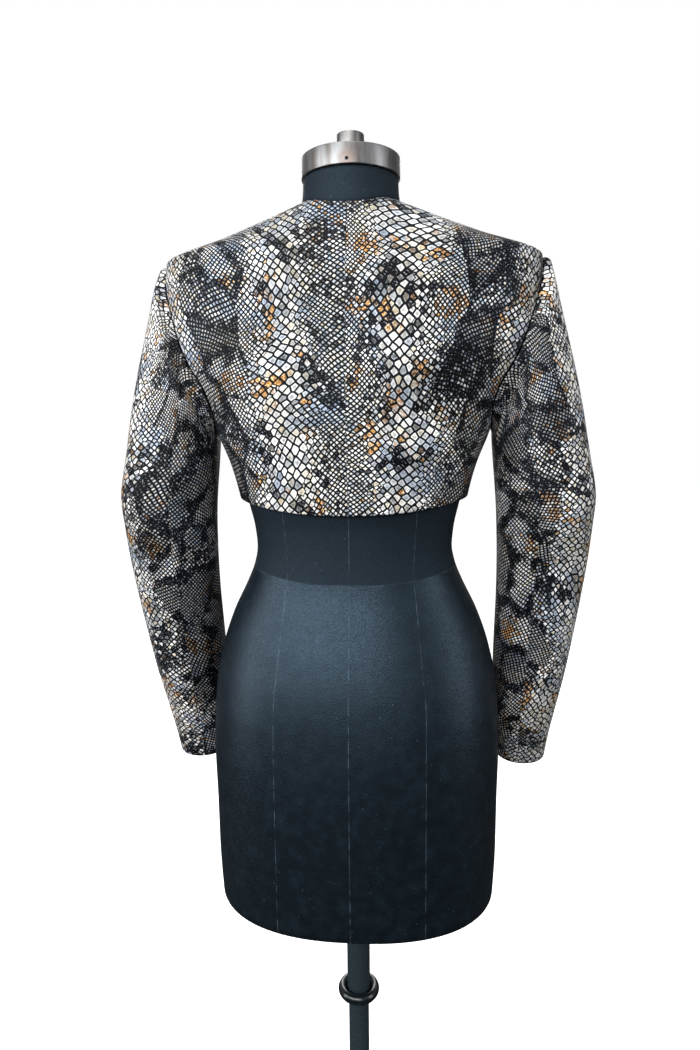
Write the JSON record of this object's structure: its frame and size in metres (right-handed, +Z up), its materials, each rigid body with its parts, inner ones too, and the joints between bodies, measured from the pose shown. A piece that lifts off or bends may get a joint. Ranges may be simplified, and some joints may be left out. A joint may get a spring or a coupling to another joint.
{
  "type": "leather jacket on a dress form",
  "caption": "Cropped collarless snake-print leather jacket with long two-piece sleeves and squared shoulders, shown on a limbless dress form on a telescoping stand.",
  "frame": {"origin": "on the floor, at the middle of the stand's round base", "axes": "+Z up along the pole; the jacket's front faces -Y and its wearer's left is +X"},
  "size_m": [0.5436, 0.4, 1.475],
  "materials": {
    "snake_print_leather": "satin",
    "form_cover": "matte",
    "brushed_steel": "satin",
    "grey_paint": "satin",
    "black_gloss": "gloss"
  },
  "bodies": {
    "stand": {"stand_pole": "grey_paint", "stand_base": "black_gloss"},
    "form": {"form_torso": "form_cover", "neck_cap": "brushed_steel", "neck_knob": "brushed_steel", "stand_tube": "grey_paint", "stand_collar": "black_gloss", "back_left": "snake_print_leather", "back_right": "snake_print_leather", "front_left": "snake_print_leather", "front_right": "snake_print_leather", "sleeve_upper_left": "snake_print_leather", "sleeve_upper_right": "snake_print_leather", "sleeve_under_left": "snake_print_leather", "sleeve_under_right": "snake_print_leather"}
  },
  "joints": [
    {"name": "height_slide", "type": "slide", "parent": "stand", "child": "form", "axis": [0, 0, 1], "range_m": [-0.1, 0.15]}
  ]
}
